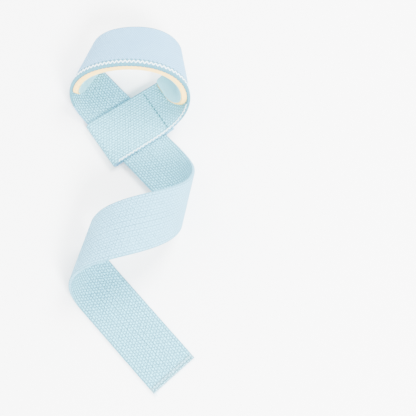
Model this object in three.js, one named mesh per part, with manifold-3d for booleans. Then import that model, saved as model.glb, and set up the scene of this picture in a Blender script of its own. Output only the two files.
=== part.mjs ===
// A padded wrist support strap, lying on the plane z = 0. Millimetres, +Z up.
//
// One long cotton webbing is folded back at one end and sewn, which leaves a flat slot. From the slot the
// webbing runs round the wrist, passes back through the slot, and goes on as a free tail that curls over
// once and then lies flat to its end. A foam pad with a thin lining is held inside the wrist loop.
// The origin is the middle of the slot's underside.
import * as THREE from "three";
import Module from "manifold-3d";
import { mergeVertices } from "three/addons/utils/BufferGeometryUtils.js";

// Webbing
const WEB_WIDTH = 38;
const WEB_THICKNESS = 2.4;
const SELVEDGE = 0.8; // the rounded edge on each side, measured across the webbing
const LAYER_GAP = 0.3; // air between two layers that lie on each other

// Slot
const SLOT_HEADING = 33.5; // degrees from +X to the way in which the slot's top layer runs to the wrist
const SLOT_CROSSING = 81.5; // degrees between the slot's layers and the webbing that passes through it
const SLOT_PLAY = 1; // room beside the webbing in the slot, up to the start of the fold
const SEAM_DISTANCE = 25.5; // from the middle of the slot to the seam
const SEAM_WIDTH = 1.6;
const SEAM_ALLOWANCE = 3; // webbing past the seam, up to its cut end

// Wrist loop and tail
const LOOP_LENGTH = 228; // from the slot round the wrist and back to the slot
const CURL_LENGTH = 203; // the stretch of the tail that curls over once
const TAIL_REST = 74; // the stretch that lies flat, up to the tail's end

// Pad
const PAD_START = 38; // along the loop, from the middle of the slot
const PAD_LENGTH = 142;
const PAD_WIDTH = 37;
const START_CORNER = 24; // corner radius on the near edge at the pad's start
const END_CORNER = 9; // and at its end
const FAR_CORNER = 3; // both corners on the far edge
const FOAM_THICKNESS = 4.8;
const LINING_THICKNESS = 0.8;
const LINING_INSET = 1; // the foam's near edge stands out past the lining
const PAD_ROUNDING = 0.5; // on the foam's cut edges
const LINING_ROUNDING = 0.3;

// Spacing of the sections of a solid
const BENT_ROW = 3;
const FLAT_ROW = 12;
const STEP_ROW = 1.4; // where the slot's lower layer steps up to the seam
const LEAST_PAD_ROW = 2.5; // shortest slanting row, at the pad's corners
const FOLD_ROWS = 10;

// Bends of the webbing between two flat stretches. at: share of the bent stretch. bend: degrees of turn for
// each tenth of it. lean: degrees by which the line that the webbing bends about leans forward at the far
// edge, against a line straight across.
const LOOP_BENDS = [
  { at: 0.0, bend: 0, lean: 35 },
  { at: 0.1, bend: 45, lean: 30 },
  { at: 0.2, bend: 55, lean: 25 },
  { at: 0.3, bend: 50, lean: 15 },
  { at: 0.4, bend: 35, lean: 10 },
  { at: 0.5, bend: 20, lean: 0 },
  { at: 0.6, bend: 15, lean: -5 },
  { at: 0.7, bend: 30, lean: -15 },
  { at: 0.8, bend: 50, lean: -20 },
  { at: 0.9, bend: 80, lean: -25 },
  { at: 1.0, bend: 0, lean: -35 },
];
const CURL_BENDS = [
  { at: 0.0, bend: 0, lean: -45 },
  { at: 0.1, bend: 76, lean: -53 },
  { at: 0.2, bend: 46, lean: -26 },
  { at: 0.3, bend: 27, lean: -20 },
  { at: 0.4, bend: 36, lean: -30 },
  { at: 0.5, bend: 43, lean: -39 },
  { at: 0.6, bend: 43, lean: -37 },
  { at: 0.7, bend: 45, lean: -34 },
  { at: 0.8, bend: 53, lean: -31 },
  { at: 0.9, bend: 73, lean: -30 },
  { at: 1.0, bend: 0, lean: -5 },
];

// Colours and finishes
const FINISH = {
  webbing: new THREE.MeshStandardMaterial({ color: 0xb4dde8, roughness: 0.9, metalness: 0 }),
  foam: new THREE.MeshStandardMaterial({ color: 0xf8e2c6, roughness: 0.95, metalness: 0 }),
  lining: new THREE.MeshStandardMaterial({ color: 0xa5d3e2, roughness: 0.8, metalness: 0 }),
};

// Heights of the middle of each layer in the slot, from the lowest up
const LAYER_RISE = WEB_THICKNESS + LAYER_GAP;
const LOWER_LAYER = WEB_THICKNESS / 2;
const PASSING_LAYER = LOWER_LAYER + LAYER_RISE;
const TOP_LAYER = PASSING_LAYER + LAYER_RISE;

const { degToRad, clamp, lerp, smoothstep } = THREE.MathUtils;
const UP = new THREE.Vector3(0, 0, 1);
const heading = (degrees) => new THREE.Vector3(Math.cos(degToRad(degrees)), Math.sin(degToRad(degrees)), 0);

const SLOT_RUN = heading(SLOT_HEADING);
const PASSING_RUN = heading(SLOT_HEADING - SLOT_CROSSING);
const SLOT_FAR = new THREE.Vector3().crossVectors(UP, SLOT_RUN); // towards the far edge of the slot's layers
const SLOT_REACH = WEB_WIDTH / 2 / Math.sin(degToRad(SLOT_CROSSING)) + LAYER_GAP;
const FOLD_START = SLOT_REACH + SLOT_PLAY;
const FOLD_RADIUS = (TOP_LAYER - LOWER_LAYER) / 2;
const FOLD_LENGTH = Math.PI * FOLD_RADIUS;

// Flat stretches beside the slot: they keep the bends, which lean, out of it
const LOOP_LEAD = 0.45 * WEB_WIDTH;
const LOOP_RETURN = 0.72 * WEB_WIDTH;
const TAIL_LEAD = 0.8 * WEB_WIDTH;
const SLOT_LEAN = -40; // degrees, in between the two tables, where the webbing passes through the slot

// The value of one column of a table of bends, in between its rows
function bendTable(table, column, at) {
  const share = clamp(at, 0, 1);
  const next = Math.max(1, table.findIndex((row) => row.at >= share));
  const [before, after] = [table[next - 1], table[next]];
  return lerp(before[column], after[column], (share - before.at) / (after.at - before.at));
}

// Follows a table of bends. A stretch starts and ends flat, and turn is a small extra turn that is spread
// over it. Gives stations a millimetre or so apart, each with its place, the way along the webbing, the way
// to the inside of the bends, and the slant of the line that the webbing bends about. Where the webbing is
// flat, that line turns evenly from the lean before it, or to the lean after it.
function followBends({ table, lead, bent, rest, leanBefore, leanAfter, start, along, inward, turn }) {
  const leanAt = (s) => {
    const lean = bendTable(table, "lean", (s - lead) / bent);
    if (s < lead) return lerp(leanBefore, lean, s / lead);
    return s > lead + bent ? lerp(lean, leanAfter, (s - lead - bent) / rest) : lean;
  };
  const length = lead + bent + rest;
  const steps = Math.round(length);
  const step = length / steps;
  const place = start.clone();
  let frame = { along: along.clone(), inward: inward.clone() };
  const stations = [];
  for (let i = 0; i <= steps; i++) {
    const s = i * step;
    const slant = Math.tan(degToRad(leanAt(s)));
    stations.push({ s, place: place.clone(), along: frame.along, inward: frame.inward, slant });
    const at = (s + step / 2 - lead) / bent;
    const lean = degToRad(leanAt(s + step / 2));
    const bend = at > 0 && at < 1 ? degToRad(bendTable(table, "bend", at)) / (bent / 10) : 0;
    const across = new THREE.Vector3().crossVectors(frame.inward, frame.along);
    const fold = across.multiplyScalar(Math.cos(lean)).addScaledVector(frame.along, Math.sin(lean));
    const share = (s + step / 2) / length;
    const extra = turn.clone().multiplyScalar((6 * share * (1 - share)) / steps);
    const whole = fold.multiplyScalar(-bend * Math.cos(lean) * step).add(extra);
    const half = new THREE.Quaternion().setFromAxisAngle(whole.clone().normalize(), whole.length() / 2);
    place.addScaledVector(frame.along.clone().applyQuaternion(half), step);
    const turned = (v) => v.clone().applyQuaternion(half).applyQuaternion(half).normalize();
    frame = { along: turned(frame.along), inward: turned(frame.inward) };
  }
  return stations;
}

// The turn that is still missing where a stretch ends: the webbing is level there, with its inside up, and
// runs along the wanted heading where one is given.
function missingTurn(end, wanted) {
  const tip = new THREE.Quaternion().setFromUnitVectors(end.inward, UP);
  const now = end.along.clone().applyQuaternion(tip);
  const yaw = wanted ? Math.atan2(now.clone().cross(wanted).z, now.dot(wanted)) : 0;
  const axis = new THREE.Vector3().crossVectors(end.inward, UP);
  const tilt = Math.atan2(axis.length(), end.inward.dot(UP));
  return axis.normalize().multiplyScalar(tilt).addScaledVector(UP, yaw);
}

// A bent stretch that ends level, at the wanted height and, for the loop, back at the slot. The small errors
// of the table are spread over the whole stretch.
function closedBends(stretch, target) {
  const turn = new THREE.Vector3();
  const rounds = 4;
  let stations = followBends({ ...stretch, turn });
  for (let round = 0; round < rounds; round++) {
    turn.add(missingTurn(stations.at(-1), target.along));
    stations = followBends({ ...stretch, turn });
  }
  const end = stations.at(-1);
  const miss = target.place ? target.place.clone().sub(end.place) : new THREE.Vector3();
  miss.z = target.height - end.place.z;
  for (const station of stations) {
    station.place.addScaledVector(miss, smoothstep(station.s, 0, end.s));
  }
  return stations;
}

const loop = closedBends(
  {
    table: LOOP_BENDS,
    lead: LOOP_LEAD,
    bent: LOOP_LENGTH - LOOP_LEAD - LOOP_RETURN,
    rest: LOOP_RETURN,
    leanBefore: 0,
    leanAfter: SLOT_LEAN,
    start: new THREE.Vector3(0, 0, TOP_LAYER),
    along: SLOT_RUN,
    inward: UP,
  },
  { along: PASSING_RUN, place: new THREE.Vector3(0, 0, PASSING_LAYER), height: PASSING_LAYER },
);
const tail = closedBends(
  {
    table: CURL_BENDS,
    lead: TAIL_LEAD,
    bent: CURL_LENGTH,
    rest: TAIL_REST,
    leanBefore: SLOT_LEAN,
    leanAfter: 0,
    start: new THREE.Vector3(0, 0, PASSING_LAYER),
    along: PASSING_RUN,
    inward: UP,
  },
  { height: LOWER_LAYER },
);
const WEB_END = LOOP_LENGTH + tail.at(-1).s;
const stations = [...loop.slice(0, -1), ...tail.map((station) => ({ ...station, s: station.s + LOOP_LENGTH }))];

// Where a point of the loop or the tail lies: s along the webbing, w across it to the far edge. Every line
// that the webbing bends about stays straight, so cloth is neither stretched nor squeezed.
function onBends(s, w) {
  let [low, high] = [0, stations.length - 1];
  while (high - low > 1) {
    const middle = (low + high) >> 1;
    if (stations[middle].s + w * stations[middle].slant <= s) low = middle;
    else high = middle;
  }
  const [before, after] = [stations[low], stations[high]];
  const edge = (station) => station.s + w * station.slant;
  const share = (s - edge(before)) / (edge(after) - edge(before));
  const point = (station) => {
    const across = new THREE.Vector3().crossVectors(station.inward, station.along);
    return station.place.clone().addScaledVector(across, w).addScaledVector(station.along, w * station.slant);
  };
  return {
    place: point(before).lerp(point(after), share),
    inward: before.inward.clone().lerp(after.inward, clamp(share, 0, 1)).normalize(),
  };
}

// Flat parts of the slot, a along its run from the middle
function onLayer(a, w, height) {
  return SLOT_RUN.clone().multiplyScalar(a).addScaledVector(SLOT_FAR, w).addScaledVector(UP, height);
}

function onFold(turned, w) {
  const angle = turned / FOLD_RADIUS;
  const out = UP.clone().multiplyScalar(Math.cos(angle)).addScaledVector(SLOT_RUN, -Math.sin(angle));
  const centre = onLayer(-FOLD_START, w, LOWER_LAYER + FOLD_RADIUS);
  return { place: centre.addScaledVector(out, FOLD_RADIUS), inward: out };
}

// The slot's lower layer lies flat under the passing webbing, then steps up under the wrist loop's arm,
// where the seam holds it.
function lowerLayerPlace(a, w) {
  const flat = onLayer(a, w, LOWER_LAYER);
  const arm = onBends(Math.max(a, 0), w);
  const sewn = arm.place.addScaledVector(arm.inward, -LAYER_RISE);
  return flat.lerp(sewn, smoothstep(a, SLOT_REACH, SEAM_DISTANCE - SEAM_WIDTH / 2));
}

function onLowerLayer(a, w) {
  const reach = 0.2;
  const along = lowerLayerPlace(a + reach, w).sub(lowerLayerPlace(a - reach, w));
  const across = lowerLayerPlace(a, w + reach).sub(lowerLayerPlace(a, w - reach));
  return { place: lowerLayerPlace(a, w), inward: across.cross(along).normalize() };
}

// The whole webbing. s runs from the middle of the slot's top layer: forward round the wrist to the tail's
// end, and backward over the fold and along the lower layer to the cut end.
function onWebbing(s, w) {
  const back = -s - FOLD_START;
  if (s >= 0) return onBends(s, w);
  if (back <= 0) return { place: onLayer(s, w, TOP_LAYER), inward: UP.clone() };
  if (back <= FOLD_LENGTH) return onFold(back, w);
  return onLowerLayer(back - FOLD_LENGTH - FOLD_START, w);
}

const CUT_END = -(FOLD_START + FOLD_LENGTH + FOLD_START + SEAM_DISTANCE + SEAM_ALLOWANCE);

// Places along the webbing, at most spacing apart
function spaced(from, to, spacing) {
  const count = Math.max(1, Math.ceil((to - from) / spacing - 1e-6));
  return Array.from({ length: count + 1 }, (_, i) => lerp(from, to, i / count));
}

// Places in a bent stretch, at whole multiples of the spacing, so that pieces that lie on each other have
// their facets side by side
function spacedOnBends(from, to) {
  const count = Math.floor(to / BENT_ROW) - Math.ceil(from / BENT_ROW) + 1;
  return Array.from({ length: count }, (_, i) => (Math.ceil(from / BENT_ROW) + i) * BENT_ROW);
}

// The slant of the line that the loop or the tail bends about, at the middle of the webbing
function slantAt(s) {
  const next = clamp(stations.findIndex((station) => station.s >= s), 1, stations.length - 1);
  const [before, after] = [stations[next - 1], stations[next]];
  return lerp(before.slant, after.slant, (s - before.s) / (after.s - before.s));
}

// A closed slab of cloth or foam. Each row crosses the webbing at a slant, through the place s at its middle,
// from the near to the far edge of the slab, and each column is a share of the way between them. The two
// faces lie at the offsets low and high to the inside of the webbing's middle. trim brings them together at
// a row or column, which rounds the edge. Cloth that rests on the surface is flattened by it.
function slab({ rows, columns, low, high, on }) {
  const positions = [];
  const ring = columns.length * 2;
  for (const row of rows) {
    const points = columns.map((column) => {
      const w = lerp(row.near, row.far, column.share) + column.inset;
      return { ...on(row.s + row.slant * w, w), trim: Math.max(row.trim, column.trim) };
    });
    const face = (point, offset) => {
      const corner = point.place.clone().addScaledVector(point.inward, offset);
      corner.z = Math.max(corner.z, 0);
      return corner;
    };
    const inner = points.map((point) => face(point, high - point.trim));
    const outer = points.map((point) => face(point, low + point.trim));
    positions.push(...inner, ...outer.reverse());
  }
  const index = [];
  const quad = (a, b, c, d) => index.push(a, b, c, a, c, d);
  for (let row = 0; row + 1 < rows.length; row++) {
    for (let k = 0; k < ring; k++) {
      const [here, beside] = [row * ring + k, row * ring + ((k + 1) % ring)];
      quad(here, here + ring, beside + ring, beside);
    }
  }
  const last = (rows.length - 1) * ring;
  for (let j = 0; j + 1 < columns.length; j++) {
    const opposite = ring - 1 - j;
    quad(j, j + 1, opposite - 1, opposite);
    quad(last + opposite, last + opposite - 1, last + j + 1, last + j);
  }
  const geometry = new THREE.BufferGeometry().setFromPoints(positions);
  geometry.setIndex(index);
  return geometry;
}

// Columns across a piece. Both edges are rounded: the faces are whole from the given inset on.
function columns(inset, trim) {
  const edge = (share) => ({ share, inset: 0, trim });
  const whole = [0, 0.25, 0.5, 0.75, 1].map((share) => ({ share, inset: inset * (1 - 2 * share), trim: 0 }));
  return [edge(0), ...whole, edge(1)];
}

function straightRows(places, width) {
  return places.map((s) => ({ s, slant: 0, near: -width / 2, far: width / 2, trim: 0 }));
}

// Joins two closed geometries into one solid
const wasm = await Module();
wasm.setup();
function solid(geometry) {
  const merged = mergeVertices(geometry);
  return new wasm.Manifold(
    new wasm.Mesh({
      numProp: 3,
      vertProperties: merged.attributes.position.array,
      triVerts: Uint32Array.from(merged.index.array),
    }),
  );
}

function joined(first, second) {
  const mesh = solid(first).add(solid(second)).getMesh();
  const geometry = new THREE.BufferGeometry();
  geometry.setAttribute("position", new THREE.BufferAttribute(mesh.vertProperties, 3));
  geometry.setIndex(new THREE.BufferAttribute(mesh.triVerts, 1));
  return geometry;
}

function webbing() {
  const lowerStart = CUT_END + SEAM_ALLOWANCE + SEAM_DISTANCE;
  const steps = lowerStart - SLOT_REACH;
  const foldEnd = -(FOLD_START + FOLD_LENGTH);
  const slot = [
    ...spaced(CUT_END, CUT_END + SEAM_ALLOWANCE, BENT_ROW),
    ...spaced(CUT_END + SEAM_ALLOWANCE, steps, STEP_ROW).slice(1),
    ...spaced(steps, foldEnd, FLAT_ROW).slice(1),
    ...spaced(foldEnd, -FOLD_START, FOLD_LENGTH / FOLD_ROWS).slice(1),
  ];
  const bentEnd = LOOP_LENGTH + TAIL_LEAD + CURL_LENGTH;
  const onward = [...spacedOnBends(0, bentEnd), ...spaced(bentEnd, WEB_END, FLAT_ROW).slice(1)];
  const half = WEB_THICKNESS / 2;
  return slab({
    rows: [
      ...straightRows(slot, WEB_WIDTH),
      ...straightRows(onward, WEB_WIDTH).map((row) => ({ ...row, slant: slantAt(row.s) })),
    ],
    columns: columns(SELVEDGE, WEB_THICKNESS / 4),
    low: -half,
    high: half,
    on: onWebbing,
  });
}

// The stitched bar that joins the slot's lower layer to the wrist loop's arm
function seam() {
  const half = SEAM_WIDTH / 2;
  return slab({
    rows: straightRows([SEAM_DISTANCE - half, SEAM_DISTANCE + half], WEB_WIDTH - 2 * SELVEDGE),
    columns: columns(SELVEDGE, 0),
    low: -LAYER_RISE,
    high: 0,
    on: onBends,
  });
}

// Whether a place on the loop lies inside the pad's outline, at least the inset from its near edge
function inPad(s, w, inset) {
  const [fromStart, fromEnd] = [s - PAD_START, PAD_START + PAD_LENGTH - s];
  const [fromNear, fromFar] = [PAD_WIDTH / 2 - inset + w, PAD_WIDTH / 2 - w];
  const inCorner = (a, b, radius) => Math.hypot(Math.max(radius - a, 0), Math.max(radius - b, 0)) <= radius;
  return (
    Math.min(fromStart, fromEnd, fromNear, fromFar) >= 0 &&
    inCorner(fromStart, fromNear, START_CORNER) &&
    inCorner(fromEnd, fromNear, END_CORNER) &&
    inCorner(Math.min(fromStart, fromEnd), fromFar, FAR_CORNER)
  );
}

// The part of a slanting row that lies inside the pad
function padRow(s, inset) {
  const slant = slantAt(s);
  const step = 0.1;
  const across = spaced(-PAD_WIDTH / 2, PAD_WIDTH / 2, step).filter((w) => inPad(s + slant * w, w, inset));
  return { s, slant, near: across[0], far: across.at(-1), trim: 0 };
}

// A layer of the wrist pad, lying inside the loop at the given depth from the webbing's inner face
function padLayer(depth, thickness, rounding, inset) {
  const low = WEB_THICKNESS / 2 + depth;
  const rows = spacedOnBends(PAD_START - PAD_WIDTH, PAD_START + PAD_LENGTH + PAD_WIDTH)
    .map((s) => padRow(s, inset))
    .filter((row) => row.far - row.near > LEAST_PAD_ROW);
  rows[0].trim = rounding;
  rows.at(-1).trim = rounding;
  return slab({ rows, columns: columns(rounding, rounding), low, high: low + thickness, on: onBends });
}

const strap = new THREE.Group();
function addPiece(name, geometry, material) {
  geometry.computeVertexNormals();
  const mesh = new THREE.Mesh(geometry, material);
  mesh.name = name;
  strap.add(mesh);
}

addPiece("webbing_strap", joined(webbing(), seam()), FINISH.webbing);
addPiece("pad_foam", padLayer(LAYER_GAP, FOAM_THICKNESS, PAD_ROUNDING, 0), FINISH.foam);
const liningDepth = LAYER_GAP + FOAM_THICKNESS + LAYER_GAP;
const lining = padLayer(liningDepth, LINING_THICKNESS, LINING_ROUNDING, LINING_INSET);
addPiece("pad_lining", lining, FINISH.lining);

export default strap;
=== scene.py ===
# %% [markdown]
# # A padded wrist support strap
#
# One webbing is cut as a flat pattern, then bent into a slot, a wrist loop, a curl and a flat tail.
# The pad and every stitch are laid out on the same flat pattern and bent with it, so they follow
# the cloth. A pattern point is (s, w, h) in millimetres: s along the webbing from the middle of the
# slot, w across it to the far edge, h through it to the inside of the loop.
#
# Cloth simulation would also drape a strip, but this one is stiff webbing that was laid down by
# hand. Its bends were fitted to its outline in a photograph and it doesn't stretch, so bending a
# flat pattern gives its shape without a simulation.

import math
from bisect import bisect_left

import bmesh
import bpy
from mathutils import Matrix, Quaternion, Vector


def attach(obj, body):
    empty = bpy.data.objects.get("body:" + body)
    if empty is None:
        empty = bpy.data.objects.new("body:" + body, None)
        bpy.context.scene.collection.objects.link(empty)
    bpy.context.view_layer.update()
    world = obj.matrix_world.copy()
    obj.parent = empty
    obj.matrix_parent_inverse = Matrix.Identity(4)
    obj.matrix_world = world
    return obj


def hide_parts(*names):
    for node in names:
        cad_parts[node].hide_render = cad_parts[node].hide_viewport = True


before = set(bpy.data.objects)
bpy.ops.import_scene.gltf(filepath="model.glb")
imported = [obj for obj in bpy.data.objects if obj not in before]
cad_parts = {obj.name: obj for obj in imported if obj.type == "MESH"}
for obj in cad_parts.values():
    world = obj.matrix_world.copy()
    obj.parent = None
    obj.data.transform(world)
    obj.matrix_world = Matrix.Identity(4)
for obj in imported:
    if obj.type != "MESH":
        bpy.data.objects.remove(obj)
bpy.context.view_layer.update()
print("solids:", sorted(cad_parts))

# %% [markdown]
# ## Sizes
# The real strap is cut from 38 mm cotton webbing. The numbers could be measured off the solids, but
# written out in millimetres they say what the maker would cut. They are the same values as in the
# solids, so the cloth lies where the solids lie.

# %% Sizes in millimetres
MM = 0.001
WEB_WIDTH = 38
WEB_THICKNESS = 2.4
LAYER_GAP = 0.3
SLOT_HEADING = 33.5
SLOT_CROSSING = 81.5
SLOT_PLAY = 1
SEAM_DISTANCE = 25.5
SEAM_WIDTH = 1.6
SEAM_ALLOWANCE = 3
LOOP_LENGTH = 228
CURL_LENGTH = 203
TAIL_REST = 74
PAD_START = 38
PAD_LENGTH = 142
PAD_WIDTH = 37
START_CORNER = 24
END_CORNER = 9
FAR_CORNER = 3
FOAM_THICKNESS = 4.8
LINING_THICKNESS = 0.8
LINING_INSET = 1

LAYER_RISE = WEB_THICKNESS + LAYER_GAP
LOWER_LAYER = WEB_THICKNESS / 2
PASSING_LAYER = LOWER_LAYER + LAYER_RISE
TOP_LAYER = PASSING_LAYER + LAYER_RISE
HALF_WIDTH = WEB_WIDTH / 2
PAD_END = PAD_START + PAD_LENGTH
print("the middles of the slot's layers lie at", LOWER_LAYER, PASSING_LAYER, TOP_LAYER)

# %% [markdown]
# ## How the webbing bends
# Webbing bends about straight lines that lie across it. Where such a line leans, the bend also
# carries the cloth sideways, as in a curl of ribbon. A curve with a twist could do this too, but it
# would stretch the cloth. The tables give, at each tenth of a bent stretch, how sharply the cloth
# bends, in degrees for a tenth measured square to the bend line, and the degrees by which that line
# leans. A leaning line is crossed at a slant, so the cloth turns less there than the table's number.
# The webbing runs straight for a lead before each bent stretch and for a rest after it.
#
# The numbers come from a program that fitted such a strip to the outline in the photograph. The
# loop's are rounded to fives, and the curl's are its whole degrees with a few changed by one or two.

# %% Bend tables
LOOP_TURNS = [0, 45, 55, 50, 35, 20, 15, 30, 50, 80, 0]
LOOP_LEANS = [35, 30, 25, 15, 10, 0, -5, -15, -20, -25, -35]
CURL_TURNS = [0, 76, 46, 27, 36, 43, 43, 45, 53, 73, 0]
CURL_LEANS = [-45, -53, -26, -20, -30, -39, -37, -34, -31, -30, -5]
SLOT_LEAN = -40
LOOP_LEAD = 0.45 * WEB_WIDTH
LOOP_RETURN = 0.72 * WEB_WIDTH
TAIL_LEAD = 0.8 * WEB_WIDTH
for name, turns, leans in (("loop", LOOP_TURNS, LOOP_LEANS), ("curl", CURL_TURNS, CURL_LEANS)):
    crossed = sum(turn * math.cos(math.radians(lean)) for turn, lean in zip(turns, leans))
    print(name, "table adds up to", sum(turns), "and turns the cloth about", round(crossed), "degrees")

# %% [markdown]
# A few small helpers follow: a value between two others, a soft rise from 0 to 1, a way along the
# floor, and a value from a table of tenths. Blender's mathutils has vectors and turns, but no such
# steps for numbers.

# %% Small helpers
UP = Vector((0, 0, 1))


def lerp(a, b, t):
    return a + (b - a) * t


def smooth(x, low, high):
    t = min(max((x - low) / (high - low), 0), 1)
    return t * t * (3 - 2 * t)


def heading(degrees):
    return Vector((math.cos(math.radians(degrees)), math.sin(math.radians(degrees)), 0))


def tenths(values, at):
    x = min(max(at, 0), 1) * (len(values) - 1)
    i = min(int(x), len(values) - 2)
    return lerp(values[i], values[i + 1], x - i)


print("halfway round the loop the table gives", tenths(LOOP_TURNS, 0.5), "degrees")

# %% [markdown]
# The slot lies flat and everything else starts from it, so its directions and its fold come next.
# Its top layer reaches back until it clears the webbing that passes under it, and folds there round
# the thickness of the layers.

# %% The slot
SLOT_RUN = heading(SLOT_HEADING)
PASSING_RUN = heading(SLOT_HEADING - SLOT_CROSSING)
SLOT_FAR = UP.cross(SLOT_RUN)
SLOT_REACH = HALF_WIDTH / math.sin(math.radians(SLOT_CROSSING)) + LAYER_GAP
FOLD_START = SLOT_REACH + SLOT_PLAY
FOLD_RADIUS = (TOP_LAYER - LOWER_LAYER) / 2
FOLD_LENGTH = math.pi * FOLD_RADIUS
CUT_END = -(FOLD_START + FOLD_LENGTH + FOLD_START + SEAM_DISTANCE + SEAM_ALLOWANCE)
print("the cut end lies", round(CUT_END, 1), "mm along the pattern")

# %% [markdown]
# To lay the strip out, we walk along it in steps of a millimetre and turn a little about the bend
# line at each step. A station keeps its place, the way along, the way to the inside, and the slant
# of its bend line. An armature could bend a strip too, but its weights stretch the cloth at every
# joint.

# %% Follow the webbing
def follow(turns, leans, lead, bent, rest, lean_before, lean_after, start, along, turn):
    def lean_at(s):
        if s < lead:
            return lerp(lean_before, leans[0], s / lead)
        if s > lead + bent:
            return lerp(leans[-1], lean_after, (s - lead - bent) / rest)
        return tenths(leans, (s - lead) / bent)

    length = lead + bent + rest
    steps = round(length)
    step = length / steps
    place, inward = start.copy(), UP.copy()
    along = along.copy()
    found = []
    for i in range(steps + 1):
        s = i * step
        slant = math.tan(math.radians(lean_at(s)))
        found.append([s, place.copy(), along.copy(), inward.copy(), slant])
        at = (s + step / 2 - lead) / bent
        lean = math.radians(lean_at(s + step / 2))
        bend = math.radians(tenths(turns, at)) / (bent / 10) if 0 < at < 1 else 0
        fold = inward.cross(along) * math.cos(lean) + along * math.sin(lean)
        share = (s + step / 2) / length
        eased = 6 * share * (1 - share) / steps  # adds up to 1, with most of it in the middle
        whole = fold * (-bend * math.cos(lean) * step) + turn * eased
        half = Quaternion()
        if whole.length > 1e-12:  # without a turn there is no axis
            half = Quaternion(whole.normalized(), whole.length / 2)
        place += (half @ along) * step
        along = (half @ (half @ along)).normalized()
        inward = (half @ (half @ inward)).normalized()
    return found


NOWHERE = Vector((0, 0, 0))
unbent = follow([0, 0], [0, 0], 10, 10, 10, 0, 0, NOWHERE, heading(0), NOWHERE)
print("an unbent strip of 30 mm reaches", round(unbent[-1][1].length, 3), "mm")

# %% [markdown]
# Tables in whole degrees don't close the loop exactly: they miss by a few millimetres and degrees.
# What is missing is spread over the whole stretch, so that no single bend has to take it. More rows
# in the tables could close it too, but they would be hard to read and to change.

# %% Close a stretch
CLOSING_ROUNDS = 4


def missing_turn(end, wanted):
    _, _, along, inward, _ = end
    now = inward.rotation_difference(UP) @ along
    yaw = math.atan2(now.cross(wanted).z, now.dot(wanted)) if wanted else 0
    axis = inward.cross(UP)
    return axis.normalized() * math.atan2(axis.length, inward.dot(UP)) + UP * yaw


def closed(stretch, height, place=None, along=None):
    turn = NOWHERE
    found = follow(*stretch, turn)
    for _ in range(CLOSING_ROUNDS):
        turn = turn + missing_turn(found[-1], along)
        found = follow(*stretch, turn)
    miss = place - found[-1][1] if place else NOWHERE.copy()
    miss.z = height - found[-1][1].z
    print("closed by %.1f degrees and %.1f mm" % (math.degrees(turn.length), miss.length))
    for station in found:
        station[1] += miss * smooth(station[0], 0, found[-1][0])
    return found


print("closing takes", CLOSING_ROUNDS, "rounds of turning, and then one of moving")

# %% [markdown]
# The loop starts on the slot's top layer and comes back to pass through the slot. The curl and the
# tail start there and end flat on the floor, wherever the curl takes them.

# %% Loop, curl and tail
LOOP_BENT = LOOP_LENGTH - LOOP_LEAD - LOOP_RETURN
slot_top = Vector((0, 0, TOP_LAYER))
slot_inside = Vector((0, 0, PASSING_LAYER))
loop_bends = LOOP_TURNS, LOOP_LEANS, LOOP_LEAD, LOOP_BENT, LOOP_RETURN, 0, SLOT_LEAN
tail_bends = CURL_TURNS, CURL_LEANS, TAIL_LEAD, CURL_LENGTH, TAIL_REST, SLOT_LEAN, 0
loop = closed((*loop_bends, slot_top, SLOT_RUN), PASSING_LAYER, slot_inside, PASSING_RUN)
tail = closed((*tail_bends, slot_inside, PASSING_RUN), LOWER_LAYER)
WEB_END = LOOP_LENGTH + tail[-1][0]
stations = loop[:-1] + [[s + LOOP_LENGTH, *rest] for s, *rest in tail]
print(len(stations), "stations; the webbing is", round(WEB_END - CUT_END), "mm long")

# %% [markdown]
# ## From the pattern to the lying strap
# A pattern point lies between two stations. A bend line is straight, so the point is found on the
# lines of both stations and then in between. A Curve modifier could lay a strip along a curve, but
# its bend lines always stand square to the curve, and these lean.

# %% Points on the bends
def on_bends(s, w):
    high = bisect_left(stations, s, key=lambda station: station[0] + w * station[4])
    high = min(max(high, 1), len(stations) - 1)
    before, after = stations[high - 1], stations[high]
    edges = [station[0] + w * station[4] for station in (before, after)]
    share = (s - edges[0]) / (edges[1] - edges[0])

    def point(station):
        _, place, along, inward, slant = station
        return place + inward.cross(along) * w + along * (w * slant)

    inward = before[3].lerp(after[3], min(max(share, 0), 1)).normalized()
    return lerp(point(before), point(after), share), inward


loop_top = max(on_bends(s, 0)[0].z for s in range(LOOP_LENGTH))
print("the middle of the loop rises to", round(loop_top, 1), "mm")

# %% [markdown]
# The sewn end has three layers: the top of the slot, the webbing that passes through, and the
# folded-back layer below, which rises to its seam. One function gives the place of any pattern
# point, so the cloth, the pad and the stitches all bend alike. Where a leaning bend would dip into
# the floor, the point is lifted.

# %% Points on the whole strap
FLOOR_CLEARANCE = 0.02


def on_layer(a, w, height):
    return SLOT_RUN * a + SLOT_FAR * w + UP * height


def lower_place(a, w):
    place, inward = on_bends(max(a, 0), w)
    sewn = place - inward * LAYER_RISE
    rise = smooth(a, SLOT_REACH, SEAM_DISTANCE - SEAM_WIDTH / 2)
    return on_layer(a, w, LOWER_LAYER).lerp(sewn, rise)


def on_webbing(s, w):
    back = -s - FOLD_START
    if s >= 0:
        return on_bends(s, w)
    if back <= 0:
        return on_layer(s, w, TOP_LAYER), UP
    if back <= FOLD_LENGTH:
        angle = back / FOLD_RADIUS
        out = UP * math.cos(angle) - SLOT_RUN * math.sin(angle)
        return on_layer(-FOLD_START, w, LOWER_LAYER + FOLD_RADIUS) + out * FOLD_RADIUS, out
    a, reach = back - FOLD_LENGTH - FOLD_START, 0.2
    along = lower_place(a + reach, w) - lower_place(a - reach, w)
    across = lower_place(a, w + reach) - lower_place(a, w - reach)
    return lower_place(a, w), across.cross(along).normalized()


def bent(s, w, h):
    place, inward = on_webbing(s, w)
    point = place + inward * h
    point.z = max(point.z, FLOOR_CLEARANCE)
    return point * MM


print("tail end at", [round(v, 4) for v in bent(WEB_END, 0, 0)])

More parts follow.
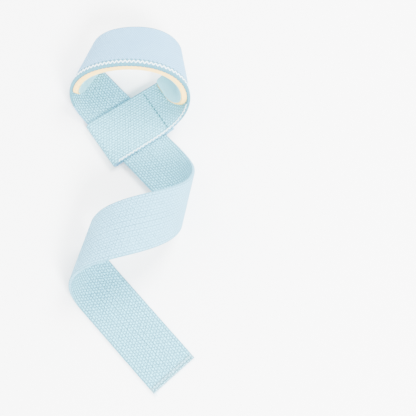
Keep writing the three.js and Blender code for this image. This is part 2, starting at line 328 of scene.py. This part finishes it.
# %% [markdown]
# ## Cutting and bending
# A slab is a grid that is thickened and gets rounded rims while it is still flat. That is easier
# than after bending, because every rim is still straight. Its UV map keeps the pattern in metres,
# so that the weave follows the cloth, and the face attribute "inside" is 1 on the face that turns
# to the inside of the loop.

# %% Cut a slab
SHARP_TURN = 1.2  # radians between the faces beside an edge that gets rounded


def flat_slab(places, across, edges, low, high, rounding):
    """A slab over the places s. edges(s) gives its near and far edge there."""
    bm = bmesh.new()
    bmesh.ops.create_grid(bm, x_segments=len(places) - 1, y_segments=across, size=0.5)
    bm.verts.ensure_lookup_table()
    for vert in bm.verts:
        s = places[round((vert.co.x + 0.5) * (len(places) - 1))]
        near, far = edges(s)
        vert.co = (s, lerp(near, far, vert.co.y + 0.5), low)
    made = bmesh.ops.extrude_face_region(bm, geom=bm.faces[:])
    for vert in (item for item in made["geom"] if isinstance(item, bmesh.types.BMVert)):
        vert.co.z = high
    bmesh.ops.recalc_face_normals(bm, faces=bm.faces)
    sharp = [edge for edge in bm.edges if edge.calc_face_angle() > SHARP_TURN]
    # only the level ones are rims, and the upright edges at the corners stay
    rims = [edge for edge in sharp if abs(edge.verts[0].co.z - edge.verts[1].co.z) < 1e-6]
    bmesh.ops.bevel(
        bm, geom=rims, offset=rounding, offset_type="OFFSET", affect="EDGES",
        segments=2, profile=0.5, material=-1, clamp_overlap=True,
    )
    return bm


def spaced(start, stop, pitch):
    """Places from start to stop, evenly apart and not more than pitch apart."""
    count = max(1, math.ceil((stop - start) / pitch))
    return [lerp(start, stop, i / count) for i in range(count + 1)]


print("three places, 1 mm apart:", spaced(0, 2, 1))

# %% [markdown]
# Only a finished pattern is bent. The face that turns to the inside is found by its normal, so the
# normals are recalculated before the bending, and again after it. The points already lie where the
# strap lies, so the object stays at the origin.

# %% Bend a pattern
def bend_to_piece(bm, name, material):
    """Bends a flat pattern and makes it an object at the origin."""
    bmesh.ops.recalc_face_normals(bm, faces=bm.faces)
    uv = bm.loops.layers.uv.new("pattern")
    inside = bm.faces.layers.float.new("inside")
    for face in bm.faces:
        face[inside] = 1.0 if face.normal.z > 0.5 else 0.0
        face.smooth = True
        for corner in face.loops:
            corner[uv].uv = (corner.vert.co.x * MM, corner.vert.co.y * MM)
    for vert in bm.verts:
        vert.co = bent(*vert.co)
    mesh = bpy.data.meshes.new(name)
    bmesh.ops.recalc_face_normals(bm, faces=bm.faces)
    bm.to_mesh(mesh)
    bm.free()
    mesh.materials.append(material)
    piece = bpy.data.objects.new(name, mesh)
    bpy.context.scene.collection.objects.link(piece)
    return piece


print("a flat pattern can now be cut and bent")

# %% [markdown]
# ## Materials
# Cotton, foam and thread are all matt and rough, and differ in colour and in fine relief. Image
# textures could show the weave, but nodes keep it sharp at any distance. Two helpers keep the
# formulas short: one adds a maths node, the other mixes two colours. Each takes plain values as
# well as sockets.

# %% Maths and mixing
def calc(tree, operation, *values):
    node = tree.nodes.new("ShaderNodeMath")
    node.operation = operation
    for socket, value in zip(node.inputs, values):
        if isinstance(value, bpy.types.NodeSocket):
            tree.links.new(value, socket)
        else:
            socket.default_value = value
    return node.outputs[0]


def mixed(tree, factor, low, high):
    node = tree.nodes.new("ShaderNodeMix")
    node.data_type = "RGBA"
    for socket, value in zip((node.inputs[0], node.inputs[6], node.inputs[7]), (factor, low, high)):
        if isinstance(value, bpy.types.NodeSocket):
            tree.links.new(value, socket)
        else:
            socket.default_value = value
    return node.outputs[2]


print("maths and mixing ready")

# %% [markdown]
# The other helpers start a material, give it a relief, and find the place on it: the two axes of
# the flat pattern for what is woven, and the object's own space for noise that has no direction.

# %% Material helpers
def new_material(name):
    material = bpy.data.materials.new(name)
    material.use_nodes = True
    tree = material.node_tree
    return material, tree, tree.nodes["Principled BSDF"]


def add_bump(tree, shader, height, distance):
    bump = tree.nodes.new("ShaderNodeBump")
    bump.inputs["Strength"].default_value = 1.0
    bump.inputs["Distance"].default_value = distance
    tree.links.new(height, bump.inputs["Height"])
    tree.links.new(bump.outputs[0], shader.inputs["Normal"])


def pattern_axes(tree):
    uv = tree.nodes.new("ShaderNodeUVMap")
    uv.uv_map = "pattern"
    split = tree.nodes.new("ShaderNodeSeparateXYZ")
    tree.links.new(uv.outputs[0], split.inputs[0])
    return split.outputs[0], split.outputs[1]


def noise(tree, scale, detail=2.0):
    space = tree.nodes.new("ShaderNodeTexCoord")
    node = tree.nodes.new("ShaderNodeTexNoise")
    node.inputs["Scale"].default_value = scale
    node.inputs["Detail"].default_value = detail
    tree.links.new(space.outputs["Object"], node.inputs["Vector"])
    return node.outputs["Fac"]


print("material helpers ready")

# %% [markdown]
# The heavy cotton yarns stand up as rows of small grains, and every other row is moved on by half a
# grain. A brick texture could do that, but two sine waves give rounded grains, which suit a bump.
# The webbing uses it twice and the lining once, so it is a node group.

# %% Weave group
def weave_group():
    group = bpy.data.node_groups.new("weave", "ShaderNodeTree")
    for name in ("Along", "Across", "Pitch", "Grain"):
        group.interface.new_socket(name=name, in_out="INPUT", socket_type="NodeSocketFloat")
    group.interface.new_socket(name="Height", in_out="OUTPUT", socket_type="NodeSocketFloat")
    given = group.nodes.new("NodeGroupInput")
    out = group.nodes.new("NodeGroupOutput")
    rows = calc(group, "DIVIDE", given.outputs["Across"], given.outputs["Pitch"])
    odd = calc(group, "MODULO", calc(group, "FLOOR", calc(group, "ADD", rows, 1000.0)), 2.0)
    grains = calc(group, "DIVIDE", given.outputs["Along"], given.outputs["Grain"])
    grains = calc(group, "ADD", grains, calc(group, "MULTIPLY", odd, 0.5))
    ridge = calc(group, "ABSOLUTE", calc(group, "SINE", calc(group, "MULTIPLY", rows, math.pi)))
    grain = calc(group, "ABSOLUTE", calc(group, "SINE", calc(group, "MULTIPLY", grains, math.pi)))
    height = calc(group, "POWER", calc(group, "MULTIPLY", ridge, grain), 0.7)
    group.links.new(height, out.inputs["Height"])
    return group


WEAVE = weave_group()


def weave(tree, along, across, pitch, grain):
    node = tree.nodes.new("ShaderNodeGroup")
    node.node_tree = WEAVE
    tree.links.new(along, node.inputs["Along"])
    tree.links.new(across, node.inputs["Across"])
    node.inputs["Pitch"].default_value = pitch
    node.inputs["Grain"].default_value = grain
    return node.outputs["Height"]


print("weave group made")

# %% [markdown]
# The webbing is grainy on its inside face, and finer and paler on its outside face. Its rims get a
# painted shade of deeper teal, most of all beside the pad, and the tail's end is a little greyed
# where it is hemmed. One material does it all, with masks on the two axes of the pattern, because it
# is one piece of cloth.

# %% Webbing colours
GRAIN_PALE = (0.20, 0.80, 1.0, 1)
GRAIN_DEEP = (0.0, 0.06, 0.18, 1)
FINE_PALE = (0.21, 0.50, 0.80, 1)
FINE_DEEP = (0.07, 0.27, 0.50, 1)
CURL_PALE = (0.26, 0.80, 1.0, 1)
# the deeper teal of the painted shade along the rims and under the zigzag
RIM_SHADE_TEAL = (0.02, 0.20, 0.25, 1)
BLOTCH_PALE = (0.30, 0.80, 1.0, 1)
HEM_GREY = (0.42, 0.58, 0.60, 1)
print("pale and deep grains:", GRAIN_PALE[:3], GRAIN_DEEP[:3])

# %% [markdown]
# The two faces come first. Past the loop the outside face is given a paler painted sheen, and the
# coarse grains show through it. Painted masks could say where, but the pattern's own length says it
# exactly. The colours are mixed from the bottom up, like coats of paint, and large soft blotches lie
# over all of them.

# %% Cloth of the two faces
GRAIN_SPREAD = 0.52  # a power: the smaller it is, the narrower the gaps between the grains
# painted sheen: how far the outside face past the loop is mixed towards a paler blue
PAST_LOOP_SHEEN = 0.55
PAST_LOOP_GAPS = 0.7
BLOTCH_SCALE = 55.0
BLOTCH_SHARE = 0.22


def cloth_of_faces(tree, grainy, fine, inside, past_loop):
    grains = calc(tree, "POWER", grainy, GRAIN_SPREAD)
    inner = mixed(tree, grains, GRAIN_DEEP, GRAIN_PALE)
    outer = mixed(tree, fine, FINE_DEEP, FINE_PALE)
    gaps = calc(tree, "MULTIPLY", calc(tree, "SUBTRACT", 1.0, grains), past_loop)
    # painted sheen: past the loop the outside face turns paler
    outer = mixed(tree, calc(tree, "MULTIPLY", past_loop, PAST_LOOP_SHEEN), outer, CURL_PALE)
    outer = mixed(tree, calc(tree, "MULTIPLY", gaps, PAST_LOOP_GAPS), outer, GRAIN_DEEP)
    cloth = mixed(tree, inside, outer, inner)
    blotch = calc(tree, "MULTIPLY", noise(tree, BLOTCH_SCALE), BLOTCH_SHARE)
    return mixed(tree, blotch, cloth, BLOTCH_PALE)


print("the outside past the loop is", round(100 * PAST_LOOP_SHEEN), "percent pale")

# %% [markdown]
# Then come the places that differ: the slot's top layer, which is paler, the painted shade under
# the zigzag, the painted shade along the rims and the hem. Each could be a material of its own, but
# then its faces would have to end exactly there. A mask on the pattern mixes a colour in anywhere,
# and as lightly as it is needed.

# %% Slot, painted shade and hem
SLOT_TOP = (-0.0215, 0.024)  # metres along the pattern
STITCHED_STRETCH = (PAD_START * MM, (PAD_END + 8) * MM)
STITCHED_RIM = (-0.0183, -0.0144)  # metres across the webbing
RIM_SHADE_START = 0.0182  # metres from the webbing's middle
HEM = 4.6
SLOT_TOP_SHARE = 0.25
ZIGZAG_SHADE_SHARE = 0.6
RIM_SHADE_SHARE = 0.32
BESIDE_PAD_SHARE = 0.5  # more painted shade beside the pad than elsewhere along the rims
HEM_SHARE = 0.3


def band(tree, value, low, high):
    """1 between low and high, and 0 outside."""
    above = calc(tree, "GREATER_THAN", value, low)
    return calc(tree, "MULTIPLY", above, calc(tree, "LESS_THAN", value, high))


def shade_places(tree, cloth, along, across, inside):
    stretch = band(tree, along, *STITCHED_STRETCH)
    slot_top = calc(tree, "MULTIPLY", band(tree, along, *SLOT_TOP), SLOT_TOP_SHARE)
    cloth = mixed(tree, slot_top, cloth, CURL_PALE)
    outside = calc(tree, "SUBTRACT", 1.0, inside)
    # painted shade: a teal band under the zigzag, on the outside face along the pad
    sewn = calc(tree, "MULTIPLY", stretch, band(tree, across, *STITCHED_RIM))
    sewn = calc(tree, "MULTIPLY", calc(tree, "MULTIPLY", sewn, outside), ZIGZAG_SHADE_SHARE)
    cloth = mixed(tree, sewn, cloth, RIM_SHADE_TEAL)
    # painted shade along both rims of the webbing, stronger beside the pad
    rim_shade = calc(tree, "GREATER_THAN", calc(tree, "ABSOLUTE", across), RIM_SHADE_START)
    share = calc(tree, "MULTIPLY_ADD", stretch, BESIDE_PAD_SHARE, RIM_SHADE_SHARE)
    cloth = mixed(tree, calc(tree, "MULTIPLY", rim_shade, share), cloth, RIM_SHADE_TEAL)
    hem = calc(tree, "GREATER_THAN", along, (WEB_END - HEM) * MM)
    return mixed(tree, calc(tree, "MULTIPLY", hem, HEM_SHARE), cloth, HEM_GREY)


print("hem of", HEM, "mm")

# %% [markdown]
# Last, the grains themselves and their relief. A little noise lets them wander out of straight
# lines. The coarse ones stand up fully on the inside face and by half past the loop, and the fine
# ones everywhere. A displacement would need a far finer mesh, so the grains are a bump.

# %% Webbing material
GRAIN_PITCH, GRAIN_LENGTH = 0.00185, 0.0024  # metres across and along the webbing
FINE_PITCH, FINE_LENGTH = 0.0012, 0.0016
WANDER_SCALE = 380.0
GRAIN_WANDER = 0.0022
PAST_LOOP_RELIEF = 0.5
FINE_RELIEF = 0.35
WEAVE_RELIEF = 0.0016
COTTON_ROUGHNESS = 0.88
COTTON_SHEEN = 0.05


def webbing_material():
    material, tree, shader = new_material("webbing_cloth")
    along, across = pattern_axes(tree)
    side = tree.nodes.new("ShaderNodeAttribute")
    side.attribute_name = "inside"
    inside = side.outputs["Fac"]
    wander = calc(tree, "MULTIPLY", noise(tree, WANDER_SCALE), GRAIN_WANDER)
    grainy = weave(tree, calc(tree, "ADD", along, wander), across, GRAIN_PITCH, GRAIN_LENGTH)
    fine = weave(tree, along, across, FINE_PITCH, FINE_LENGTH)
    past_loop = calc(tree, "GREATER_THAN", along, LOOP_LENGTH * MM)
    cloth = cloth_of_faces(tree, grainy, fine, inside, past_loop)
    cloth = shade_places(tree, cloth, along, across, inside)
    tree.links.new(cloth, shader.inputs["Base Color"])
    shader.inputs["Roughness"].default_value = COTTON_ROUGHNESS
    shader.inputs["Sheen Weight"].default_value = COTTON_SHEEN
    relief = calc(tree, "MAXIMUM", inside, calc(tree, "MULTIPLY", past_loop, PAST_LOOP_RELIEF))
    height = calc(tree, "MULTIPLY", grainy, relief)
    height = calc(tree, "ADD", height, calc(tree, "MULTIPLY", fine, FINE_RELIEF))
    add_bump(tree, shader, height, WEAVE_RELIEF)
    return material


WEBBING_CLOTH = webbing_material()
print(WEBBING_CLOTH.name, "has", len(WEBBING_CLOTH.node_tree.nodes), "nodes")

# %% [markdown]
# The foam is beige, with a fine crumb where it was cut. A voronoi texture could draw each cell, but
# from where the foam is seen a small noise in colour and relief is enough.

# %% Foam material
FOAM_DEEP = (1.0, 0.54, 0.10, 1)
FOAM_PALE = (1.0, 0.74, 0.24, 1)
CRUMB_SCALE, CRUMB_DETAIL = 1400.0, 3.0
CRUMB_RELIEF = 0.0003
FOAM_ROUGHNESS = 0.95


def foam_material():
    material, tree, shader = new_material("beige_foam")
    crumb = noise(tree, CRUMB_SCALE, CRUMB_DETAIL)
    tree.links.new(mixed(tree, crumb, FOAM_DEEP, FOAM_PALE), shader.inputs["Base Color"])
    shader.inputs["Roughness"].default_value = FOAM_ROUGHNESS
    add_bump(tree, shader, crumb, CRUMB_RELIEF)
    return material


FOAM = foam_material()
print("made", FOAM.name)

# %% [markdown]
# The lining on the skin side is closely knitted and light blue. The weave group with much smaller
# grains gives its stitches, and a slow noise the soft ripples of thin cloth on foam. Ripples in the
# mesh would show in its outline too, but for ripples as low as these a bump is enough.

# %% Lining material
KNIT_DEEP = (0.14, 0.46, 0.54, 1)
KNIT_PALE = (0.24, 0.62, 0.70, 1)
KNIT_PITCH, KNIT_LENGTH = 0.0008, 0.001
RIPPLE_SCALE, RIPPLE_SHARE = 90.0, 2.0
LINING_RELIEF = 0.0002
LINING_ROUGHNESS = 0.8


def lining_material():
    material, tree, shader = new_material("knitted_lining")
    along, across = pattern_axes(tree)
    knit = weave(tree, along, across, KNIT_PITCH, KNIT_LENGTH)
    tree.links.new(mixed(tree, knit, KNIT_DEEP, KNIT_PALE), shader.inputs["Base Color"])
    shader.inputs["Roughness"].default_value = LINING_ROUGHNESS
    ripples = calc(tree, "MULTIPLY", noise(tree, RIPPLE_SCALE), RIPPLE_SHARE)
    add_bump(tree, shader, calc(tree, "ADD", knit, ripples), LINING_RELIEF)
    return material


LINING = lining_material()
print("made", LINING.name)

# %% [markdown]
# The threads are pale for the zigzag and teal for the other rows. A real thread is twisted from
# plies, but it is far too thin here for them to show, so a fine noise between two shades is enough.

# %% Thread materials
FIBRE_SCALE = 2500.0
THREAD_ROUGHNESS = 0.7


def thread_material(name, dark, pale):
    material, tree, shader = new_material(name)
    tree.links.new(mixed(tree, noise(tree, FIBRE_SCALE), dark, pale), shader.inputs["Base Color"])
    shader.inputs["Roughness"].default_value = THREAD_ROUGHNESS
    return material


PALE_THREAD = thread_material("pale_thread", (0.55, 0.84, 0.93, 1), (0.86, 0.97, 1.0, 1))
TEAL_THREAD = thread_material("teal_thread", (0.01, 0.09, 0.12, 1), (0.03, 0.19, 0.24, 1))
print("made", PALE_THREAD.name, "and", TEAL_THREAD.name)

# %% [markdown]
# ## The webbing
# It is a single strip from its sewn end to its free end, so it is one slab, with a row of faces for
# each 1.3 mm and twenty across. A plane with a Solidify modifier could be bent too, but a slab
# already has its rounded rims.

# %% Webbing
def web_edges(s):
    return -HALF_WIDTH, HALF_WIDTH


ROW_PITCH = 1.3
ROWS_ACROSS = 20
WEB_ROUNDING = 0.7
INNER = WEB_THICKNESS / 2
OUTER = -WEB_THICKNESS / 2
web_places = spaced(CUT_END, WEB_END, ROW_PITCH)
web_bm = flat_slab(web_places, ROWS_ACROSS, web_edges, OUTER, INNER, WEB_ROUNDING)
webbing = bend_to_piece(web_bm, "webbing_cloth_piece", WEBBING_CLOTH)
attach(webbing, "root")
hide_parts("webbing_strap")
print("webbing:", len(webbing.data.polygons), "faces")

# %% [markdown]
# ## The pad
# A strip of foam pads the wrist, and a thin lining covers its skin side. Both have a large round
# corner where the pad starts, near the seam, and small corners elsewhere. A boolean could cut the
# corners, but here each row of the flat slab is simply made as wide as the outline is there, which
# keeps the rows even.

# %% Pad outline
def corner_inset(radius, distance):
    short = min(max(radius - distance, 0), radius)
    return radius - math.sqrt(radius * radius - short * short)


def pad_edges(s):
    from_start, from_end = s - PAD_START, PAD_END - s
    near = corner_inset(START_CORNER, from_start) + corner_inset(END_CORNER, from_end)
    far = corner_inset(FAR_CORNER, min(from_start, from_end))
    return near - PAD_WIDTH / 2, PAD_WIDTH / 2 - far


def lining_edges(s):
    near, far = pad_edges(s)
    return near + LINING_INSET, far


CORNER_ROWS = 24
PAD_ROW_PITCH = 1.5


def pad_places():
    """Places along the pad, close together at its corners."""
    shares = [1 - math.cos(math.pi / 2 * i / CORNER_ROWS) for i in range(CORNER_ROWS)]
    start = [PAD_START + START_CORNER * share for share in shares]
    end = [PAD_END - END_CORNER * share for share in reversed(shares)]
    middle = spaced(PAD_START + START_CORNER, PAD_END - END_CORNER, PAD_ROW_PITCH)
    return start + middle + end


print("the pad has", len(pad_places()), "rows and is", PAD_LENGTH, "mm long")

# %% [markdown]
# The stitches press the pad down along its rims, so it is a fifth thinner there than in its middle.
# Foam and lining are pinched alike while they are flat. A simulation could press them too, but the
# amount is small and a smooth rise from the rim gives it directly.

# %% Foam and lining
RIM_SHARE = 0.8
PINCH_REACH = 8
FOAM_ROUNDING = 0.6
LINING_ROUNDING = 0.3


def pinched(bm):
    for vert in bm.verts:
        s, w, h = vert.co
        near, far = pad_edges(s)
        depth = min(w - near, far - w, s - PAD_START, PAD_END - s)
        vert.co.z = INNER + (h - INNER) * lerp(RIM_SHARE, 1, smooth(depth, 0, PINCH_REACH))
    return bm


foam_low = INNER + LAYER_GAP
foam_high = foam_low + FOAM_THICKNESS
lining_low = foam_high + LAYER_GAP
lining_high = lining_low + LINING_THICKNESS
foam_bm = flat_slab(pad_places(), ROWS_ACROSS, pad_edges, foam_low, foam_high, FOAM_ROUNDING)
foam = bend_to_piece(pinched(foam_bm), "foam_core", FOAM)
lining_bm = flat_slab(
    pad_places(), ROWS_ACROSS, lining_edges, lining_low, lining_high, LINING_ROUNDING
)
lining = bend_to_piece(pinched(lining_bm), "lining_cloth", LINING)
for piece, node, slot in ((foam, "pad_foam", "foam"), (lining, "pad_lining", "lining")):
    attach(piece, "root")
    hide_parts(node)
print("pad:", len(foam.data.polygons) + len(lining.data.polygons), "faces")

# %% [markdown]
# ## Stitches
# A texture could only paint a stitch. Here each one is a stretched ball on the pattern, from one
# pattern point to another, and about half sunk in the cloth. Balls are cheap, and they bend with
# everything else.

# %% A stitch
LIFTED = 1.02  # times a face's height, to lie a little off the cloth


def add_stitch(bm, start, end, h, radius):
    start, end = Vector((*start, h)), Vector((*end, h))
    along = end - start
    turn = Vector((1, 0, 0)).rotation_difference(along)
    size = Matrix.Diagonal((along.length / 2 + radius, radius, radius, 1))
    place = Matrix.Translation((start + end) / 2) @ turn.to_matrix().to_4x4() @ size
    bmesh.ops.create_icosphere(bm, subdivisions=2, radius=1.0, matrix=place)


def finish_stitches(bm, name, material):
    piece = bend_to_piece(bm, name, material)
    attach(piece, "root")
    print(name, len(piece.data.polygons), "faces")


trial = bmesh.new()
add_stitch(trial, (0, 0), (2, 0), 0, 0.3)
print("a stitch has", len(trial.faces), "faces")
trial.free()

# %% [markdown]
# A pale zigzag binds the near rim. Along the pad it shows on the outside face. From the slot to the
# pad the rim is bare, and a narrower zigzag shows on its inside face, which is turned up there.

# %% Zigzags along the rim
ZIGZAG_PITCH = 3.1
ZIGZAG_WIDTH = 2.4
ZIGZAG_INSET = 1.2
ZIGZAG_THREAD = 0.4  # half its thickness, as for every thread
BARE_WIDTH = 1.2
BARE_INSET = 0.3
BARE_THREAD = 0.36
NEAR_RIM = -HALF_WIDTH
ZIGZAG_NEAR = NEAR_RIM + ZIGZAG_INSET
ZIGZAG_FAR = ZIGZAG_NEAR + ZIGZAG_WIDTH
BARE_NEAR = NEAR_RIM + BARE_INSET
ZIGZAG_START, ZIGZAG_END = PAD_START + 2, PAD_END + 6
BARE_START, BARE_END = 1 - FOLD_START, PAD_START + 13


def zigzag(bm, places, low, high, h, radius):
    for i, (a, b) in enumerate(zip(places, places[1:])):
        ends = (high, low) if i % 2 else (low, high)
        add_stitch(bm, (a, ends[0]), (b, ends[1]), h, radius)


rim_bm = bmesh.new()
padded_places = spaced(ZIGZAG_START, ZIGZAG_END, ZIGZAG_PITCH / 2)
bare_places = spaced(BARE_START, BARE_END, ZIGZAG_PITCH / 2)
zigzag(rim_bm, padded_places, ZIGZAG_NEAR, ZIGZAG_FAR, OUTER - 0.1, ZIGZAG_THREAD)
zigzag(rim_bm, bare_places, BARE_NEAR, BARE_NEAR + BARE_WIDTH, INNER, BARE_THREAD)
finish_stitches(rim_bm, "rim_stitches", PALE_THREAD)

# %% [markdown]
# All teal rows are one piece. The seam holds the layers of the slot, and two rows hold the hem at
# the tail's end and show on both of its faces. An array modifier could repeat a stitch along a row,
# but these rows are bent with the cloth, so each stitch is placed on the pattern.

# %% Seam and hem rows
ROW_THREAD = 0.3
SEAM_ROW = dict(inset=2, pitch=3.6, gap=0.4, stitch=1.8, radius=0.58)
HEM_ROW = dict(inset=1.2, pitch=2.2, gap=0.3, stitch=1.4, radius=ROW_THREAD)
HEM_DISTANCES = (1.6, 4.0)  # millimetres before the tail's end


def cross_row(bm, s, h, inset, pitch, gap, stitch, radius):
    """A row across the webbing at s. Each stitch starts a gap after its place."""
    for place in spaced(-HALF_WIDTH + inset, HALF_WIDTH - inset, pitch)[:-1]:
        w = place + gap
        add_stitch(bm, (s, w), (s, w + stitch), h, radius)


seam_bm = bmesh.new()
cross_row(seam_bm, SEAM_DISTANCE, INNER + 0.05, **SEAM_ROW)
for distance in HEM_DISTANCES:
    for h in (INNER * LIFTED, OUTER * LIFTED):
        cross_row(seam_bm, WEB_END - distance, h, **HEM_ROW)
print("seam and hem:", len(seam_bm.faces), "faces")

# %% [markdown]
# Three finer rows follow the near rim: one beside the zigzag, short ones round the bare rim, and
# one where the foam meets the webbing. That one follows the pad's outline and hides the small gap
# under the foam. They go into the same bmesh as the seam, which is why it is finished only here.

# %% Rows along the rim
BESIDE_ZIGZAG = ZIGZAG_FAR + 1.1
BESIDE_STITCH = 1.2
RIM_STITCH, RIM_THREAD = 1.6, 0.45
FOAM_ROW_PITCH, FOAM_ROW_GAP, FOAM_ROW_THREAD = 3.2, 0.4, 0.26


def beside_foam(s):
    return s, pad_edges(s)[0] - 0.2


for s in padded_places[::2]:
    ends = (s, BESIDE_ZIGZAG), (s + BESIDE_STITCH, BESIDE_ZIGZAG)
    add_stitch(seam_bm, *ends, OUTER * LIFTED, ROW_THREAD)
for s in bare_places[::3]:
    add_stitch(seam_bm, (s, NEAR_RIM), (s + RIM_STITCH, NEAR_RIM), 0, RIM_THREAD)
foam_row = spaced(PAD_START + START_CORNER / 2, PAD_END - 2, FOAM_ROW_PITCH)
for a, b in zip(foam_row, foam_row[1:]):
    start, (_, end_w) = beside_foam(a), beside_foam(b)
    add_stitch(seam_bm, start, (b - FOAM_ROW_GAP, end_w), INNER + 0.1, FOAM_ROW_THREAD)
finish_stitches(seam_bm, "seam_stitches", TEAL_THREAD)

# %% [markdown]
# The tail's lower corner is a little frayed. Hair could show that, but there are only a few loose
# strands of uneven length, and each of them is easier to place as one long stitch.

# %% Frayed corner
STRAND_ROOT, STRAND_HEIGHT, STRAND_THREAD = 1.0, -0.5, 0.24
STRANDS = [  # across, reach past the end, drift sideways
    (-18.2, 3.4, -1.6),
    (-17.4, 2.2, -0.5),
    (-16.8, 3.0, -1.1),
    (-15.9, 1.6, 0.3),
    (-14.6, 1.2, 0.1),
]
fray_bm = bmesh.new()
for w, reach, drift in STRANDS:
    root, tip = (WEB_END - STRAND_ROOT, w), (WEB_END + reach, w + drift)
    add_stitch(fray_bm, root, tip, STRAND_HEIGHT, STRAND_THREAD)
finish_stitches(fray_bm, "frayed_corner", PALE_THREAD)

# %% [markdown]
# ## Floor and light
# The strap lies on a plain pale ground in soft light, with only faint shadows. A bright world gives
# the soft light. Two small lights, in front and behind, give the grains their relief, and a larger
# one fills the left.

# %% Floor
FLOOR_SIZE = 6
FLOOR_DROP = 0.0002  # just below the strap, so that the two don't flicker where they touch
bpy.ops.mesh.primitive_plane_add(size=FLOOR_SIZE, location=(0, 0, -FLOOR_DROP))
floor = bpy.context.object
floor.name = "floor"
floor_material, _, floor_shader = new_material("pale_floor")
floor_shader.inputs["Base Color"].default_value = (0.96, 0.96, 0.96, 1)
floor_shader.inputs["Roughness"].default_value = 0.9
floor.data.materials.append(floor_material)
print("floor of", FLOOR_SIZE, "m")

# %% [markdown]
# A sun lamp with a wide angle could light the strap too. Area lights were chosen because their size
# and place are easy to picture, like windows in a room. A high world strength stands for its white
# walls.

# %% World and lights
WORLD_STRENGTH = 3.6
AIM = Vector((0, -0.06, 0))  # the middle of the strap, for the lights and the camera
world = bpy.data.worlds.new("studio")
bpy.context.scene.world = world
world.use_nodes = True
sky = world.node_tree.nodes["Background"]
sky.inputs["Color"].default_value = (1, 1, 1, 1)
sky.inputs["Strength"].default_value = WORLD_STRENGTH


def area_light(name, place, size, power):
    data = bpy.data.lights.new(name, "AREA")
    data.size = size
    data.energy = power
    light = bpy.data.objects.new(name, data)
    light.location = place
    light.rotation_euler = (AIM - Vector(place)).to_track_quat("-Z", "Y").to_euler()
    bpy.context.scene.collection.objects.link(light)


area_light("key", (0.5, -1.0, 1.1), 0.45, 90)
area_light("back", (0.45, 0.5, 1.0), 0.5, 45)
area_light("fill", (-0.9, 0.5, 1.3), 1.2, 16)
print("lights:", [item.name for item in bpy.data.lights])

# %% [markdown]
# ## Camera
# The strap is seen steeply from above, so that the loop looks open and the tail looks long. A long
# lens from some distance keeps the near end from swelling.

# %% Camera
CAMERA_ELEVATION = 73
CAMERA_DISTANCE = 0.7
CAMERA_LENS = 82.0
CAMERA_TURN = 4.87  # degrees past the strap, which keeps it in the left half of the picture

elevation = math.radians(CAMERA_ELEVATION)
away = Vector((0, -math.cos(elevation), math.sin(elevation)))
camera_data = bpy.data.cameras.new("camera")
camera_data.lens = CAMERA_LENS
camera_data.sensor_width = 36  # millimetres, as in a full-frame camera
camera = bpy.data.objects.new("camera", camera_data)
bpy.context.scene.collection.objects.link(camera)
look = (-away).to_track_quat("-Z", "Y")
camera.location = AIM + away * CAMERA_DISTANCE
camera.rotation_euler = (look @ Quaternion((0, 1, 0), math.radians(-CAMERA_TURN))).to_euler()
bpy.context.scene.camera = camera
print("camera at", [round(v, 3) for v in camera.location])
